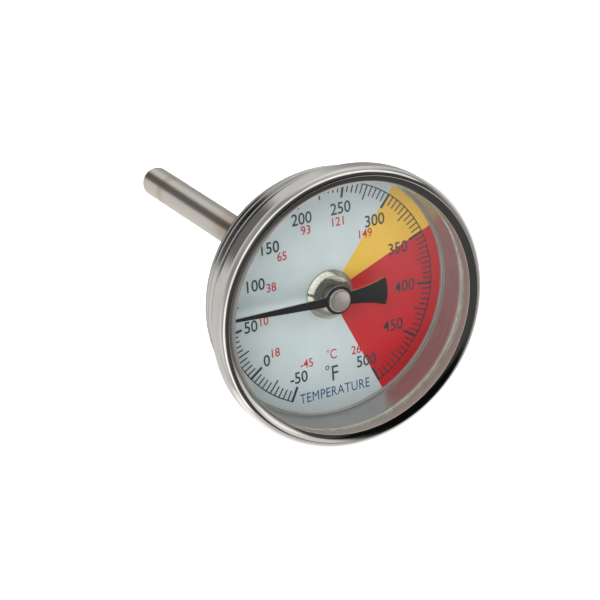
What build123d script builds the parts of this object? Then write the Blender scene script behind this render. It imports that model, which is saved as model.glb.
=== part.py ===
from build123d import *
import os
from math import cos, radians, sin

os.makedirs("parts", exist_ok=True)

# A back-connected bimetal dial thermometer, all sizes in millimetres.
# The pointer's axis is the Y axis: the dial faces -Y, the stem runs to +Y, and +Z is
# towards 12 o'clock. The origin is where the stem leaves the end of the pipe thread.
# Depths below are counted from the printed face of the dial, positive towards the stem.

# ---------------------------------------------------------------- sizes

dial_to_origin = 31.6

# Bezel
bezel_radius = 27.9
bezel_wall = 0.6
bezel_opening_radius = 24.8
bezel_front = -10.9
bezel_crest_radius = 26.4
bezel_lip_front = -10.45
bezel_lip_wall = 0.5
bezel_hem = -6.15
bezel_hem_radius = 27.15
bezel_front_round = 1.49
bezel_lip_round = 0.2
bezel_hem_round = 0.5

# Lens, its gasket and the bright ring between the lens and the dial
lens_radius = 26.6
lens_front = -8.6
lens_back = -7.0
gasket_back = -6.4
gasket_inner_radius = 25.05
spacer_flange_back = -5.9
spacer_front_radius = 24.95
spacer_foot_radius = 24.7
spacer_wall = 0.45
spacer_bead_radius = 24.15
spacer_bead_front = -0.7
spacer_bead_round = 0.4
spacer_outer_foot_radius = 24.82
spacer_outer_bead_radius = 25.0

# Case: a drawn cup that steps in three times on its way to the back
case_wall = 0.65
case_rim_front = -7.3
case_rim_radius = 27.25
case_rim_bore = 26.65
case_neck = -6.3
case_neck_radius = 27.1
first_step = -3.0
first_step_radius = 26.4
second_step = 0.8
second_step_radius = 25.3
third_step = 3.3
third_step_radius = 24.55
step_depth = 0.22
step_length = 0.18
case_heel = 4.7
case_heel_radius = 24.0
case_back = 5.9
case_back_radius = 22.6
case_heel_round = 0.7
case_back_round = 0.9
case_inner_offset = 0.3
case_seat_offset = 0.2
case_hole_radius = 5.0

# Dial
dial_radius = 24.5
dial_thickness = 0.8
dial_hole_radius = 3.05
dial_ledge = 0.5

# Hub nut, sleeve and front bearing at the middle of the dial
hub_nut_radius = 4.92
hub_nut_front = -1.25
hub_nut_face_radius = 3.95
hub_nut_side = 0.4
hub_nut_bore_depth = 0.85
hub_window_radius = 2.2
hub_nut_bore_radius = 3.05
sleeve_radius = 3.0
sleeve_bore_radius = 2.15
sleeve_front = -0.8
sleeve_back = 8.2
sleeve_flange_radius = 6.0
sleeve_flange_thickness = 1.2
bearing_front = -0.6
bearing_length = 2.2

# Spindle and pointer
spindle_radius = 0.8
running_clearance = 0.04
spindle_front = -4.3
spindle_back = 45.6
pointer_angle = -87.8
pointer_front = -4.0
pointer_thickness = 0.3
pointer_length = 22.4
pointer_root_half_width = 1.04
pointer_tip_half_width = 0.3
pointer_tip_length = 0.5
pointer_hub_radius = 2.85
tail_start = 2.4
tail_start_half_width = 1.3
tail_middle = 6.2
tail_middle_half_width = 1.75
tail_end = 10.1
tail_end_half_width = 2.85
tail_bulge = 0.4
tail_corner_radius = 0.35
pointer_bushing_radius = 1.25
pointer_bushing_back = -1.9
cap_radius = 2.3
cap_front = -4.75
cap_round = 0.3

# Threaded connection behind the case: 9/16 inch hexagon and 1/4 NPT male thread
hex_across_flats = 14.29
hex_front = 6.5
hex_back = 14.3
hex_corner_radius = 7.9
hex_chamfer_radius = 8.9
hex_chamfer = 0.6
thread_pitch = 1.411
thread_turns = 10
thread_depth = 1.0
thread_large_radius = 6.86
thread_taper = 1 / 32
thread_runout = 1.6
thread_crest_start = 0.42
thread_crest_end = 0.58
thread_end_chamfer = 0.6
fitting_back = dial_to_origin
spigot_radius = 4.9
spigot_front = 2.3
fitting_bore_radius = 3.0
nut_across_flats = 13.0
nut_front = 2.7
nut_back = 4.75
lock_washer_radius = 6.6
seal_radius = 7.0

# Stem
stem_radius = 3.175
stem_bore_radius = 2.6
stem_front = 8.5
stem_back = 73.6
stem_tip = 82.4
tip_round = 0.7
plug_spigot_front = 71.2

# Bimetal coil and what holds its two ends
coil_mean_radius = 2.05
strip_thickness = 0.16
strip_width = 1.3
coil_pitch = 1.75
coil_turns = 13
coil_front = 46.6
collar_radius = 1.5
collar_front = 43.2
collar_back = 46.4
anchor_radius = 1.6
anchor_front = 66.0
guide_positions = (24.0, 40.5)
guide_length = 1.6


# ---------------------------------------------------------------- helpers

# Outlines of turned pieces are drawn on this plane as (radius, depth) corners.
section_plane = Plane(origin=(0, -dial_to_origin, 0), x_dir=(1, 0, 0), z_dir=(0, 0, 1))


def turned(points):
    """Turn a closed outline of (radius, depth) corners about the pointer's axis."""
    with BuildSketch(section_plane) as outline:
        with BuildLine():
            Polyline(*points, close=True)
        make_face()
    revolve(outline.sketch, axis=Axis.Y)


def tube(outer, inner, front, back):
    """Turn a plain ring between two depths."""
    turned([(inner, front), (outer, front), (outer, back), (inner, back)])


def facing_front(depth, x_dir=(1, 0, 0)):
    """Plane at a depth whose normal points out of the dial."""
    return Plane(origin=(0, depth - dial_to_origin, 0), x_dir=x_dir, z_dir=(0, -1, 0))


# ---------------------------------------------------------------- bezel and lens

with BuildPart() as bezel_ring:
    with BuildSketch(section_plane) as bezel_section:
        with BuildLine():
            Polyline(
                (bezel_opening_radius, lens_front),
                (bezel_opening_radius, bezel_lip_front),
                (bezel_crest_radius, bezel_front),
                (bezel_radius, bezel_front),
                (bezel_radius, bezel_hem),
                (bezel_hem_radius, bezel_hem),
                (bezel_hem_radius, case_neck),
                (bezel_radius - bezel_wall, case_neck),
                (bezel_radius - bezel_wall, bezel_front + bezel_wall),
                (bezel_crest_radius, bezel_front + bezel_wall),
                (bezel_opening_radius + bezel_lip_wall, bezel_lip_front + bezel_wall),
                (bezel_opening_radius + bezel_lip_wall, lens_front),
                close=True,
            )
        make_face()
        front_outer = bezel_section.vertices().sort_by_distance((bezel_radius, bezel_front))[0]
        fillet(front_outer, radius=bezel_front_round)
        front_inner = bezel_section.vertices().sort_by_distance(
            (bezel_radius - bezel_wall, bezel_front + bezel_wall))[0]
        fillet(front_inner, radius=bezel_front_round - bezel_wall)
        lip_corner = bezel_section.vertices().sort_by_distance(
            (bezel_opening_radius, bezel_lip_front))[0]
        fillet(lip_corner, radius=bezel_lip_round)
        hem_corner = bezel_section.vertices().sort_by_distance((bezel_radius, bezel_hem))[0]
        fillet(hem_corner, radius=bezel_hem_round)
    revolve(axis=Axis.Y)
bezel_ring.part.label = "bezel_ring"
export_step(bezel_ring.part, "parts/bezel_ring.step")

with BuildPart() as lens:
    with BuildSketch(facing_front(lens_back)):
        Circle(lens_radius)
    extrude(amount=lens_back - lens_front)
lens.part.label = "lens"
export_step(lens.part, "parts/lens.step")

with BuildPart() as lens_gasket:
    tube(lens_radius, gasket_inner_radius, lens_back, gasket_back)
lens_gasket.part.label = "lens_gasket"
export_step(lens_gasket.part, "parts/lens_gasket.step")

# The spacer ring rests a bead on the edge of the dial and its flange on the case.
with BuildPart() as spacer_ring:
    with BuildSketch(section_plane) as spacer_section:
        with BuildLine():
            Polyline(
                (spacer_front_radius, gasket_back),
                (lens_radius, gasket_back),
                (lens_radius, spacer_flange_back),
                (spacer_front_radius + spacer_wall, spacer_flange_back),
                (spacer_outer_bead_radius, spacer_bead_front),
                (spacer_outer_foot_radius, 0),
                (spacer_bead_radius, 0),
                (spacer_bead_radius, spacer_bead_front),
                (spacer_foot_radius, spacer_bead_front),
                close=True,
            )
        make_face()
        bead_corner = spacer_section.vertices().sort_by_distance(
            (spacer_bead_radius, spacer_bead_front))[0]
        fillet(bead_corner, radius=spacer_bead_round)
    revolve(axis=Axis.Y)
spacer_ring.part.label = "spacer_ring"
export_step(spacer_ring.part, "parts/spacer_ring.step")

# ---------------------------------------------------------------- case and dial

with BuildPart() as case_cup:
    with BuildSketch(section_plane) as case_section:
        with BuildLine():
            Polyline(
                (case_rim_bore, case_rim_front),
                (case_rim_radius, case_rim_front),
                (case_rim_radius, case_neck),
                (case_neck_radius, case_neck),
                (first_step_radius, first_step),
                (first_step_radius - step_depth, first_step + step_length),
                (second_step_radius, second_step),
                (second_step_radius - step_depth, second_step + step_length),
                (third_step_radius, third_step),
                (third_step_radius - step_depth, third_step + step_length),
                (case_heel_radius, case_heel),
                (case_back_radius, case_back),
                (case_hole_radius, case_back),
                (case_hole_radius, case_back - case_wall),
                (case_back_radius - case_inner_offset, case_back - case_wall),
                (case_heel_radius - case_wall, case_heel - case_inner_offset),
                (dial_radius - dial_ledge, dial_thickness),
                (second_step_radius - case_wall, dial_thickness),
                (first_step_radius - case_wall, first_step),
                (case_neck_radius - case_wall - case_seat_offset, spacer_flange_back),
                (case_rim_bore, spacer_flange_back),
                close=True,
            )
        make_face()
        heel = case_section.vertices().sort_by_distance((case_heel_radius, case_heel))[0]
        fillet(heel, radius=case_heel_round)
        back_edge = case_section.vertices().sort_by_distance((case_back_radius, case_back))[0]
        fillet(back_edge, radius=case_back_round)
    revolve(axis=Axis.Y)
case_cup.part.label = "case_cup"
export_step(case_cup.part, "parts/case_cup.step")

with BuildPart() as dial_plate:
    with BuildSketch(facing_front(dial_thickness)):
        Circle(dial_radius)
        Circle(dial_hole_radius, mode=Mode.SUBTRACT)
    extrude(amount=dial_thickness)
dial_plate.part.label = "dial_plate"
export_step(dial_plate.part, "parts/dial_plate.step")

# The hub nut is a low cap nut: its bevelled rim shows around the pointer's hub.
with BuildPart() as hub_nut:
    turned([
        (hub_nut_bore_radius, 0),
        (hub_nut_radius, 0),
        (hub_nut_radius, -hub_nut_side),
        (hub_nut_face_radius, hub_nut_front),
        (hub_window_radius, hub_nut_front),
        (hub_window_radius, -hub_nut_bore_depth),
        (hub_nut_bore_radius, -hub_nut_bore_depth),
    ])
hub_nut.part.label = "hub_nut"
export_step(hub_nut.part, "parts/hub_nut.step")

with BuildPart() as hub_sleeve:
    turned([
        (sleeve_bore_radius, sleeve_front),
        (sleeve_radius, sleeve_front),
        (sleeve_radius, dial_thickness),
        (sleeve_flange_radius, dial_thickness),
        (sleeve_flange_radius, dial_thickness + sleeve_flange_thickness),
        (sleeve_radius, dial_thickness + sleeve_flange_thickness),
        (sleeve_radius, sleeve_back),
        (sleeve_bore_radius, sleeve_back),
    ])
hub_sleeve.part.label = "hub_sleeve"
export_step(hub_sleeve.part, "parts/hub_sleeve.step")

with BuildPart() as front_bearing:
    tube(sleeve_bore_radius, spindle_radius + running_clearance,
         bearing_front, bearing_front + bearing_length)
front_bearing.part.label = "front_bearing"
export_step(front_bearing.part, "parts/front_bearing.step")

# ---------------------------------------------------------------- pointer and spindle

tip_direction = (sin(radians(pointer_angle)), 0, cos(radians(pointer_angle)))
pointer_plane = facing_front(pointer_front + pointer_thickness, x_dir=tip_direction)

with BuildPart() as pointer:
    with BuildSketch(pointer_plane) as pointer_outline:
        with BuildLine():
            Polyline(
                (0, -pointer_root_half_width),
                (pointer_length - pointer_tip_length, -pointer_tip_half_width),
                (pointer_length, 0),
                (pointer_length - pointer_tip_length, pointer_tip_half_width),
                (0, pointer_root_half_width),
                close=True,
            )
        make_face()
        with BuildLine():
            upper_side = ThreePointArc(
                (-tail_start, tail_start_half_width),
                (-tail_middle, tail_middle_half_width),
                (-tail_end, tail_end_half_width),
            )
            tail_tip = ThreePointArc(
                upper_side @ 1,
                (-tail_end - tail_bulge, 0),
                (-tail_end, -tail_end_half_width),
            )
            lower_side = ThreePointArc(
                tail_tip @ 1,
                (-tail_middle, -tail_middle_half_width),
                (-tail_start, -tail_start_half_width),
            )
            Line(lower_side @ 1, upper_side @ 0)
        make_face()
        corners = pointer_outline.vertices().filter_by(
            lambda corner: abs(corner.distance_to((-tail_end, 0, 0)) - tail_end_half_width) < 0.01)
        fillet(corners, radius=tail_corner_radius)
        Circle(pointer_hub_radius)
        Circle(spindle_radius, mode=Mode.SUBTRACT)
    extrude(amount=pointer_thickness)
pointer.part.label = "pointer"
export_step(pointer.part, "parts/pointer.step")

with BuildPart() as pointer_bushing:
    tube(pointer_bushing_radius, spindle_radius,
         pointer_front + pointer_thickness, pointer_bushing_back)
pointer_bushing.part.label = "pointer_bushing"
export_step(pointer_bushing.part, "parts/pointer_bushing.step")

with BuildPart() as pointer_cap:
    with BuildSketch(section_plane) as cap_section:
        with BuildLine():
            Polyline(
                (0, cap_front),
                (cap_radius, cap_front),
                (cap_radius, pointer_front),
                (spindle_radius, pointer_front),
                (spindle_radius, spindle_front),
                (0, spindle_front),
                close=True,
            )
        make_face()
        rim = cap_section.vertices().sort_by_distance((cap_radius, cap_front))[0]
        fillet(rim, radius=cap_round)
    revolve(axis=Axis.Y)
pointer_cap.part.label = "pointer_cap"
export_step(pointer_cap.part, "parts/pointer_cap.step")

with BuildPart() as spindle:
    with BuildSketch(facing_front(spindle_back)):
        Circle(spindle_radius)
    extrude(amount=spindle_back - spindle_front)
spindle.part.label = "spindle"
export_step(spindle.part, "parts/spindle.step")

# ---------------------------------------------------------------- threaded connection

def thread_outline():
    """Ridges of the tapered thread, drawn as rings, from the hexagon to the free end."""
    crest = thread_large_radius
    y = hex_back + thread_runout
    corners = []
    for _ in range(thread_turns):
        corners.append((crest - thread_depth, y))
        corners.append((crest, y + thread_pitch * thread_crest_start))
        corners.append((crest, y + thread_pitch * thread_crest_end))
        y += thread_pitch
        crest -= thread_pitch * thread_taper
    corners.append((crest - thread_depth, y))
    return corners


with BuildPart() as hex_fitting:
    with BuildSketch(facing_front(hex_back)):
        RegularPolygon(hex_across_flats / 2, 6, major_radius=False)
    extrude(amount=hex_back - hex_front)
    with BuildSketch(section_plane):
        with BuildLine():
            Polyline(
                (0, hex_front),
                (hex_corner_radius, hex_front),
                (hex_chamfer_radius, hex_front + hex_chamfer),
                (hex_chamfer_radius, hex_back - hex_chamfer),
                (hex_corner_radius, hex_back),
                (0, hex_back),
                close=True,
            )
        make_face()
    revolve(axis=Axis.Y, mode=Mode.INTERSECT)
    thread_corners = thread_outline()
    turned([
        (0, hex_back),
        (thread_corners[0][0], hex_back),
        *thread_corners,
        (thread_corners[-1][0], fitting_back - thread_end_chamfer),
        (thread_corners[-1][0] - thread_end_chamfer, fitting_back),
        (0, fitting_back),
    ])
    tube(spigot_radius, 0, spigot_front, hex_front)
    with BuildSketch(facing_front(fitting_back)):
        Circle(fitting_bore_radius)
    extrude(amount=fitting_back - spigot_front, mode=Mode.SUBTRACT)
hex_fitting.part.label = "hex_fitting"
export_step(hex_fitting.part, "parts/hex_fitting.step")

with BuildPart() as case_seal:
    tube(seal_radius, spigot_radius, case_back, hex_front)
case_seal.part.label = "case_seal"
export_step(case_seal.part, "parts/case_seal.step")

with BuildPart() as lock_washer:
    tube(lock_washer_radius, spigot_radius, nut_back, case_back - case_wall)
lock_washer.part.label = "lock_washer"
export_step(lock_washer.part, "parts/lock_washer.step")

with BuildPart() as back_nut:
    with BuildSketch(facing_front(nut_back)):
        RegularPolygon(nut_across_flats / 2, 6, major_radius=False)
        Circle(spigot_radius, mode=Mode.SUBTRACT)
    extrude(amount=nut_back - nut_front)
back_nut.part.label = "back_nut"
export_step(back_nut.part, "parts/back_nut.step")

# ---------------------------------------------------------------- stem

# The tube's turned-down end fills the fitting's bore and its shoulder rests on the thread's end.
with BuildPart() as stem_tube:
    turned([
        (stem_bore_radius, stem_front),
        (fitting_bore_radius, stem_front),
        (fitting_bore_radius, fitting_back),
        (stem_radius, fitting_back),
        (stem_radius, stem_back),
        (stem_bore_radius, stem_back),
    ])
stem_tube.part.label = "stem_tube"
export_step(stem_tube.part, "parts/stem_tube.step")

with BuildPart() as tip_plug:
    with BuildSketch(section_plane) as plug_section:
        with BuildLine():
            Polyline(
                (0, plug_spigot_front),
                (stem_bore_radius, plug_spigot_front),
                (stem_bore_radius, stem_back),
                (stem_radius, stem_back),
                (stem_radius, stem_tip),
                (0, stem_tip),
                close=True,
            )
        make_face()
        tip_edge = plug_section.vertices().sort_by_distance((stem_radius, stem_tip))[0]
        fillet(tip_edge, radius=tip_round)
    revolve(axis=Axis.Y)
tip_plug.part.label = "tip_plug"
export_step(tip_plug.part, "parts/tip_plug.step")

with BuildPart() as spindle_guides:
    for guide_front in guide_positions:
        tube(stem_bore_radius, spindle_radius + running_clearance,
             guide_front, guide_front + guide_length)
spindle_guides.part.label = "spindle_guides"
export_step(spindle_guides.part, "parts/spindle_guides.step")

# ---------------------------------------------------------------- bimetal coil

with BuildPart() as helix_collar:
    tube(collar_radius, spindle_radius, collar_front, collar_back)
helix_collar.part.label = "helix_collar"
export_step(helix_collar.part, "parts/helix_collar.step")

with BuildPart() as bimetal_helix:
    with BuildLine():
        coil_path = Helix(
            pitch=coil_pitch, height=coil_pitch * coil_turns, radius=coil_mean_radius,
            center=(0, coil_front - dial_to_origin, 0), direction=(0, 1, 0))
    with BuildSketch(Plane(origin=coil_path @ 0, z_dir=coil_path % 0, x_dir=(0, 1, 0))):
        Rectangle(strip_width, strip_thickness)
    sweep(is_frenet=True)
bimetal_helix.part.label = "bimetal_helix"
export_step(bimetal_helix.part, "parts/bimetal_helix.step")

with BuildPart() as helix_anchor:
    tube(anchor_radius, 0, anchor_front, plug_spigot_front)
helix_anchor.part.label = "helix_anchor"
export_step(helix_anchor.part, "parts/helix_anchor.step")
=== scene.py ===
# %% [markdown]
# # A bimetal dial thermometer
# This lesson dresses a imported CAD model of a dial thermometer. The CAD model fixes where every
# piece sits; each step here builds one visible piece in mesh code, or gives a CAD piece a better
# finish. All measures below are millimetres unless a name says otherwise.

# %% Load the frame
from math import atan2, cos, pi, radians, sin, tan

import bmesh
import bpy
from mathutils import Matrix, Vector


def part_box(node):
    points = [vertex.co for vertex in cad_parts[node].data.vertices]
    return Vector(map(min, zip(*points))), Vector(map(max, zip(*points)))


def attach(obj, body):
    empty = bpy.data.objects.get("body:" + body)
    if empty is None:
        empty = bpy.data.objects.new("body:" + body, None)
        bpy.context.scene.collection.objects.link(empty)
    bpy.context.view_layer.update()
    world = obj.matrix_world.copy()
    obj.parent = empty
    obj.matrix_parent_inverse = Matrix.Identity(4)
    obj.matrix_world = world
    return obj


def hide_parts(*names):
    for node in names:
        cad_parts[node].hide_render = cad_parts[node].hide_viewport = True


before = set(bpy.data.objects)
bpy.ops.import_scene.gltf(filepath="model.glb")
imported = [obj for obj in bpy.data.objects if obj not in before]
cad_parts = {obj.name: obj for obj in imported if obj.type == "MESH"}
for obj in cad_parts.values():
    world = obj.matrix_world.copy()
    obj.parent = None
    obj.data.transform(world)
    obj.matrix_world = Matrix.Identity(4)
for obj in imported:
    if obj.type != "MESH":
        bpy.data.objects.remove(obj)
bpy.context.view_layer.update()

# %% [markdown]
# ## Where things are
# The pointer turns about the Y axis and the dial faces -Y. Every turned piece is described by its
# radius and its depth, counted from the printed face of the dial, so one function turns that pair
# into a place. The dial's own CAD box gives the start of the depth scale.

# %% The depth scale
MM = 0.001
FIXED, TURNING = "thermometer_body", "pointer_assembly"
dial_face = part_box("dial_plate")[0].y


def place(radius, depth, angle=90.0):
    """Point at a radius and depth; the angle runs clockwise from 12 o'clock, in degrees."""
    turn = radians(angle)
    return Vector((radius * sin(turn) * MM, dial_face + depth * MM, radius * cos(turn) * MM))


def outer_radius(node):
    """Largest radius of a round CAD node, in millimetres."""
    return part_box(node)[1].z / MM


print("dial face at y", round(dial_face, 5), "bezel radius", round(outer_radius("bezel_ring"), 3))

# %% [markdown]
# ## Turning a piece
# Most pieces of a thermometer come off a lathe or a spinning press, so their shape is one outline
# swept round an axis. A cylinder with loop cuts could do it too, but spinning an outline keeps
# every corner where the drawing has it. Corners are rounded on the outline, before the spin,
# because a real edge is never perfectly sharp and the small round is what catches the light. Wide
# rounds get more steps, since a polished one shows every facet.

# %% Outline, corner rounding and spin
WIDE_ROUND = 0.6
FEW_STEPS, MANY_STEPS = 6, 16


def rounding_offset(before, corner, after, radius):
    """How far along both edges a corner's round of this radius begins."""
    first = Vector(corner) - Vector(before)
    second = Vector(after) - Vector(corner)
    return radius * tan(first.angle(second) / 2)


def draw_outline(shape, corners, rounds, closed=True):
    """Lay (radius, depth) corners as edges, then round the corners whose index is in rounds."""
    points = [shape.verts.new(place(*corner)) for corner in corners]
    for start, end in zip(points, points[1:]):
        shape.edges.new((start, end))
    if closed:
        shape.edges.new((points[-1], points[0]))
    count = len(corners)
    for index, radius in rounds.items():
        offset = rounding_offset(corners[index - 1], corners[index], corners[(index + 1) % count], radius)
        steps = MANY_STEPS if radius > WIDE_ROUND else FEW_STEPS
        bmesh.ops.bevel(shape, geom=[points[index]], offset=offset * MM, offset_type="OFFSET",
                        affect="VERTICES", segments=steps, profile=0.5, material=-1)


def spin_outline(shape, steps=192):
    """Turn everything in the shape once round the pointer's axis."""
    bmesh.ops.spin(shape, geom=shape.verts[:] + shape.edges[:], cent=(0, 0, 0), axis=(0, 1, 0),
                   dvec=(0, 0, 0), angle=2 * pi, steps=steps, use_merge=True, use_duplicate=False)


# %% [markdown]
# ## Finishing a piece
# The same last steps apply to all meshes: weld doubled points, point the faces outwards, mark the
# real corners sharp and let a Weighted Normal modifier keep the wide flats flat beside small rounds.
# The function also counts open edges, since a piece should be a closed shell.

# %% Weld, shade and attach
def set_piece(shape, name, finish, body=FIXED, stands_for=None, corner=35):
    """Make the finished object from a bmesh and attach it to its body."""
    bmesh.ops.remove_doubles(shape, verts=shape.verts[:], dist=1e-7)
    bmesh.ops.recalc_face_normals(shape, faces=shape.faces[:])
    for face in shape.faces:
        face.smooth = True
    for edge in shape.edges:
        edge.smooth = edge.is_manifold and edge.calc_face_angle() < radians(corner)
    open_edges = sum(not edge.is_manifold for edge in shape.edges)
    mesh = bpy.data.meshes.new(name)
    shape.to_mesh(mesh)
    shape.free()
    mesh.materials.append(finish)
    piece = bpy.data.objects.new(name, mesh)
    bpy.context.scene.collection.objects.link(piece)
    weighted = piece.modifiers.new("flat_faces_stay_flat", "WEIGHTED_NORMAL")
    weighted.keep_sharp = True
    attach(piece, body)
    if stands_for:
        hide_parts(stands_for)
    print(f"{name}: {len(mesh.polygons)} faces, {open_edges} open edges")
    return piece


def turned_piece(name, node, corners, rounds, finish, body=FIXED, closed=True, steps=192):
    """A turned piece that stands for one CAD node."""
    shape = bmesh.new()
    draw_outline(shape, corners, rounds, closed)
    spin_outline(shape, steps)
    return set_piece(shape, name, finish, body, stands_for=node)


# %% [markdown]
# ## Wiring finishes
# Finishes are node materials. Writing each node out in full hides the idea behind the plumbing, so
# three small helpers add a node, do a sum and fade between two limits. Colours are given as the
# familiar 0 to 255 numbers and turned into the linear values that shaders work with.

# %% Node helpers
def linear(red, green, blue):
    """Linear colour from 0 to 255 display numbers."""
    def one(channel):
        channel /= 255
        return channel / 12.92 if channel <= 0.04045 else ((channel + 0.055) / 1.055) ** 2.4
    return (one(red), one(green), one(blue), 1.0)


def start_finish(name, **settings):
    """A new material, its node tree and its Principled shader with plain settings filled in."""
    finish = bpy.data.materials.new(name)
    finish.use_nodes = True
    shader = finish.node_tree.nodes["Principled BSDF"]
    for socket, value in settings.items():
        shader.inputs[socket.replace("_", " ")].default_value = value
    return finish, finish.node_tree, shader


def plug(tree, value, socket):
    """Feed a socket from another socket, or set it to a plain value."""
    if isinstance(value, bpy.types.NodeSocket):
        tree.links.new(value, socket)
    else:
        socket.default_value = value


def node(tree, kind, inputs=(), **settings):
    """Add a node, set its options and feed its inputs by name or number."""
    made = tree.nodes.new(kind)
    for option, value in settings.items():
        setattr(made, option, value)
    for key, value in dict(inputs).items():
        plug(tree, value, made.inputs[key])
    return made


def calc(tree, operation, *values):
    """One Math node."""
    return node(tree, "ShaderNodeMath", enumerate(values), operation=operation).outputs[0]


def fade(tree, value, low, high, first=0.0, last=1.0):
    """Smooth step of a value from first, at low, to last, at high."""
    return node(tree, "ShaderNodeMapRange", enumerate([value, low, high, first, last]),
                interpolation_type="SMOOTHSTEP").outputs[0]


def mix_colour(tree, share, one, other):
    """Blend of two colours."""
    mixed = node(tree, "ShaderNodeMix", {0: share, 6: one, 7: other}, data_type="RGBA")
    return mixed.outputs[2]


# %% [markdown]
# ## Lathe marks
# A turned or spun surface carries marks that run round the axis: long one way, very fine the
# other. Stretching a noise along X would draw straight lines, which is wrong on a ring. Here the
# noise reads the direction round the axis slowly, and the radius and depth quickly, so its streaks
# bend round the piece with no seam. Object coordinates work because every piece sits at the origin.

# %% Streaks round the axis
NOISE_DETAIL = 3.0


def round_the_axis(tree):
    """Radius, depth and the two parts of the direction round the axis, as sockets."""
    place_node = node(tree, "ShaderNodeTexCoord")
    parts = node(tree, "ShaderNodeSeparateXYZ", {0: place_node.outputs["Object"]})
    x, y, z = parts.outputs
    squares = calc(tree, "ADD", calc(tree, "MULTIPLY", x, x), calc(tree, "MULTIPLY", z, z))
    radius = calc(tree, "SQRT", squares)
    safe = calc(tree, "MAXIMUM", radius, 1e-6)
    return radius, y, calc(tree, "DIVIDE", x, safe), calc(tree, "DIVIDE", z, safe)


def streaks(tree, axis_parts, fine, slow):
    """Noise with fine marks across the radius and depth, and slow change round the axis."""
    radius, depth, across, up = axis_parts
    where = node(tree, "ShaderNodeCombineXYZ", {
        0: calc(tree, "MULTIPLY", across, slow),
        1: calc(tree, "MULTIPLY", up, slow),
        2: calc(tree, "MULTIPLY", depth, fine)}).outputs[0]
    noise = node(tree, "ShaderNodeTexNoise", {
        "Vector": where, "W": calc(tree, "MULTIPLY", radius, fine), "Scale": 1.0, "Detail": NOISE_DETAIL,
        "Roughness": 0.6}, noise_dimensions="4D")
    return noise.outputs[0]


def blotches(tree, size):
    """Soft uneven patches about this many millimetres across."""
    where = node(tree, "ShaderNodeTexCoord").outputs["Object"]
    noise = node(tree, "ShaderNodeTexNoise", {
        "Vector": where, "Scale": 1 / (size * MM), "Detail": NOISE_DETAIL})
    return noise.outputs[0]


def grain_direction(tree):
    """Tangent that runs round the pointer's axis, for a highlight stretched by brushing."""
    here = node(tree, "ShaderNodeNewGeometry").outputs["Position"]
    cross = node(tree, "ShaderNodeVectorMath", {0: here, 1: (0.0, 1.0, 0.0)}, operation="CROSS_PRODUCT")
    return node(tree, "ShaderNodeVectorMath", {0: cross.outputs[0]}, operation="NORMALIZE").outputs[0]


def raise_bump(tree, shader, height, depth_um):
    """Bump of this many micrometres."""
    bump = node(tree, "ShaderNodeBump", {"Height": height, "Distance": depth_um * 1e-6, "Strength": 1.0})
    tree.links.new(bump.outputs[0], shader.inputs["Normal"])


# %% [markdown]
# ## Bright metals
# Stainless steel and nickel differ in tint and in how they were finished. One recipe serves all:
# a slightly warm or cool metal, a roughness that wanders with the lathe marks and with faint
# handling marks, and a bump of a micrometre or less. A few of them also stretch the highlight.

# %% Metal recipe
MARKS_SHARE, PATCH_SIZE = 0.7, 6.0


def metal_finish(name, colour, smooth, rough, fine, slow, bump_um, stretch=0.0, shade=0.9, metal=1.0):
    """Metal whose roughness goes from smooth to rough with its streaks and patches."""
    finish, tree, shader = start_finish(name, Metallic=metal, Anisotropic=stretch)
    marks = streaks(tree, round_the_axis(tree), fine, slow)
    patches = blotches(tree, PATCH_SIZE)
    both = calc(tree, "ADD", calc(tree, "MULTIPLY", marks, MARKS_SHARE),
                calc(tree, "MULTIPLY", patches, 1 - MARKS_SHARE))
    darker = tuple(channel * shade for channel in colour[:3]) + (1.0,)
    tree.links.new(mix_colour(tree, fade(tree, both, 0.3, 0.7), darker, colour), shader.inputs["Base Color"])
    tree.links.new(fade(tree, both, 0.28, 0.72, smooth, rough), shader.inputs["Roughness"])
    if stretch:
        tree.links.new(grain_direction(tree), shader.inputs["Tangent"])
    raise_bump(tree, shader, marks, bump_um)
    return finish


# %% Polished and brushed steel
STEEL = linear(206, 203, 198)
bezel_polish = metal_finish("bezel_polish", STEEL, smooth=0.07, rough=0.13, fine=5200.0, slow=1.6,
                            bump_um=0.35)
case_brushing = metal_finish("case_brushing", STEEL, smooth=0.09, rough=0.19, fine=3800.0, slow=1.2,
                             bump_um=3.5, shade=0.75)
spacer_satin = metal_finish("spacer_satin", linear(184, 180, 178), smooth=0.26, rough=0.38, fine=7000.0,
                            slow=1.5, bump_um=0.8, metal=0.75)
fitting_steel = metal_finish("fitting_steel", linear(196, 192, 186), smooth=0.16, rough=0.34, fine=6000.0,
                             slow=1.2, bump_um=1.5, stretch=0.3)
spindle_steel = metal_finish("spindle_steel", linear(196, 194, 190), smooth=0.14, rough=0.26, fine=9000.0,
                             slow=1.5, bump_um=0.6)
print("nodes in the bezel's finish so far:", len(bezel_polish.node_tree.nodes))

# %% Nickel, brass and zinc
nut_nickel = metal_finish("nut_nickel", linear(214, 208, 196), smooth=0.1, rough=0.18, fine=9000.0,
                          slow=1.0, bump_um=0.6, metal=0.8)
cap_nickel = metal_finish("cap_nickel", linear(192, 182, 174), smooth=0.14, rough=0.26, fine=12000.0,
                          slow=0.8, bump_um=0.8, metal=0.75)
turned_brass = metal_finish("turned_brass", linear(205, 168, 96), smooth=0.18, rough=0.34, fine=9000.0,
                            slow=1.0, bump_um=1.0, stretch=0.3)
fastener_zinc = metal_finish("fastener_zinc", linear(190, 190, 192), smooth=0.25, rough=0.42, fine=4000.0,
                             slow=2.0, bump_um=1.5)
print("plated and turned finishes:", nut_nickel.name, cap_nickel.name, turned_brass.name, fastener_zinc.name)
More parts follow.
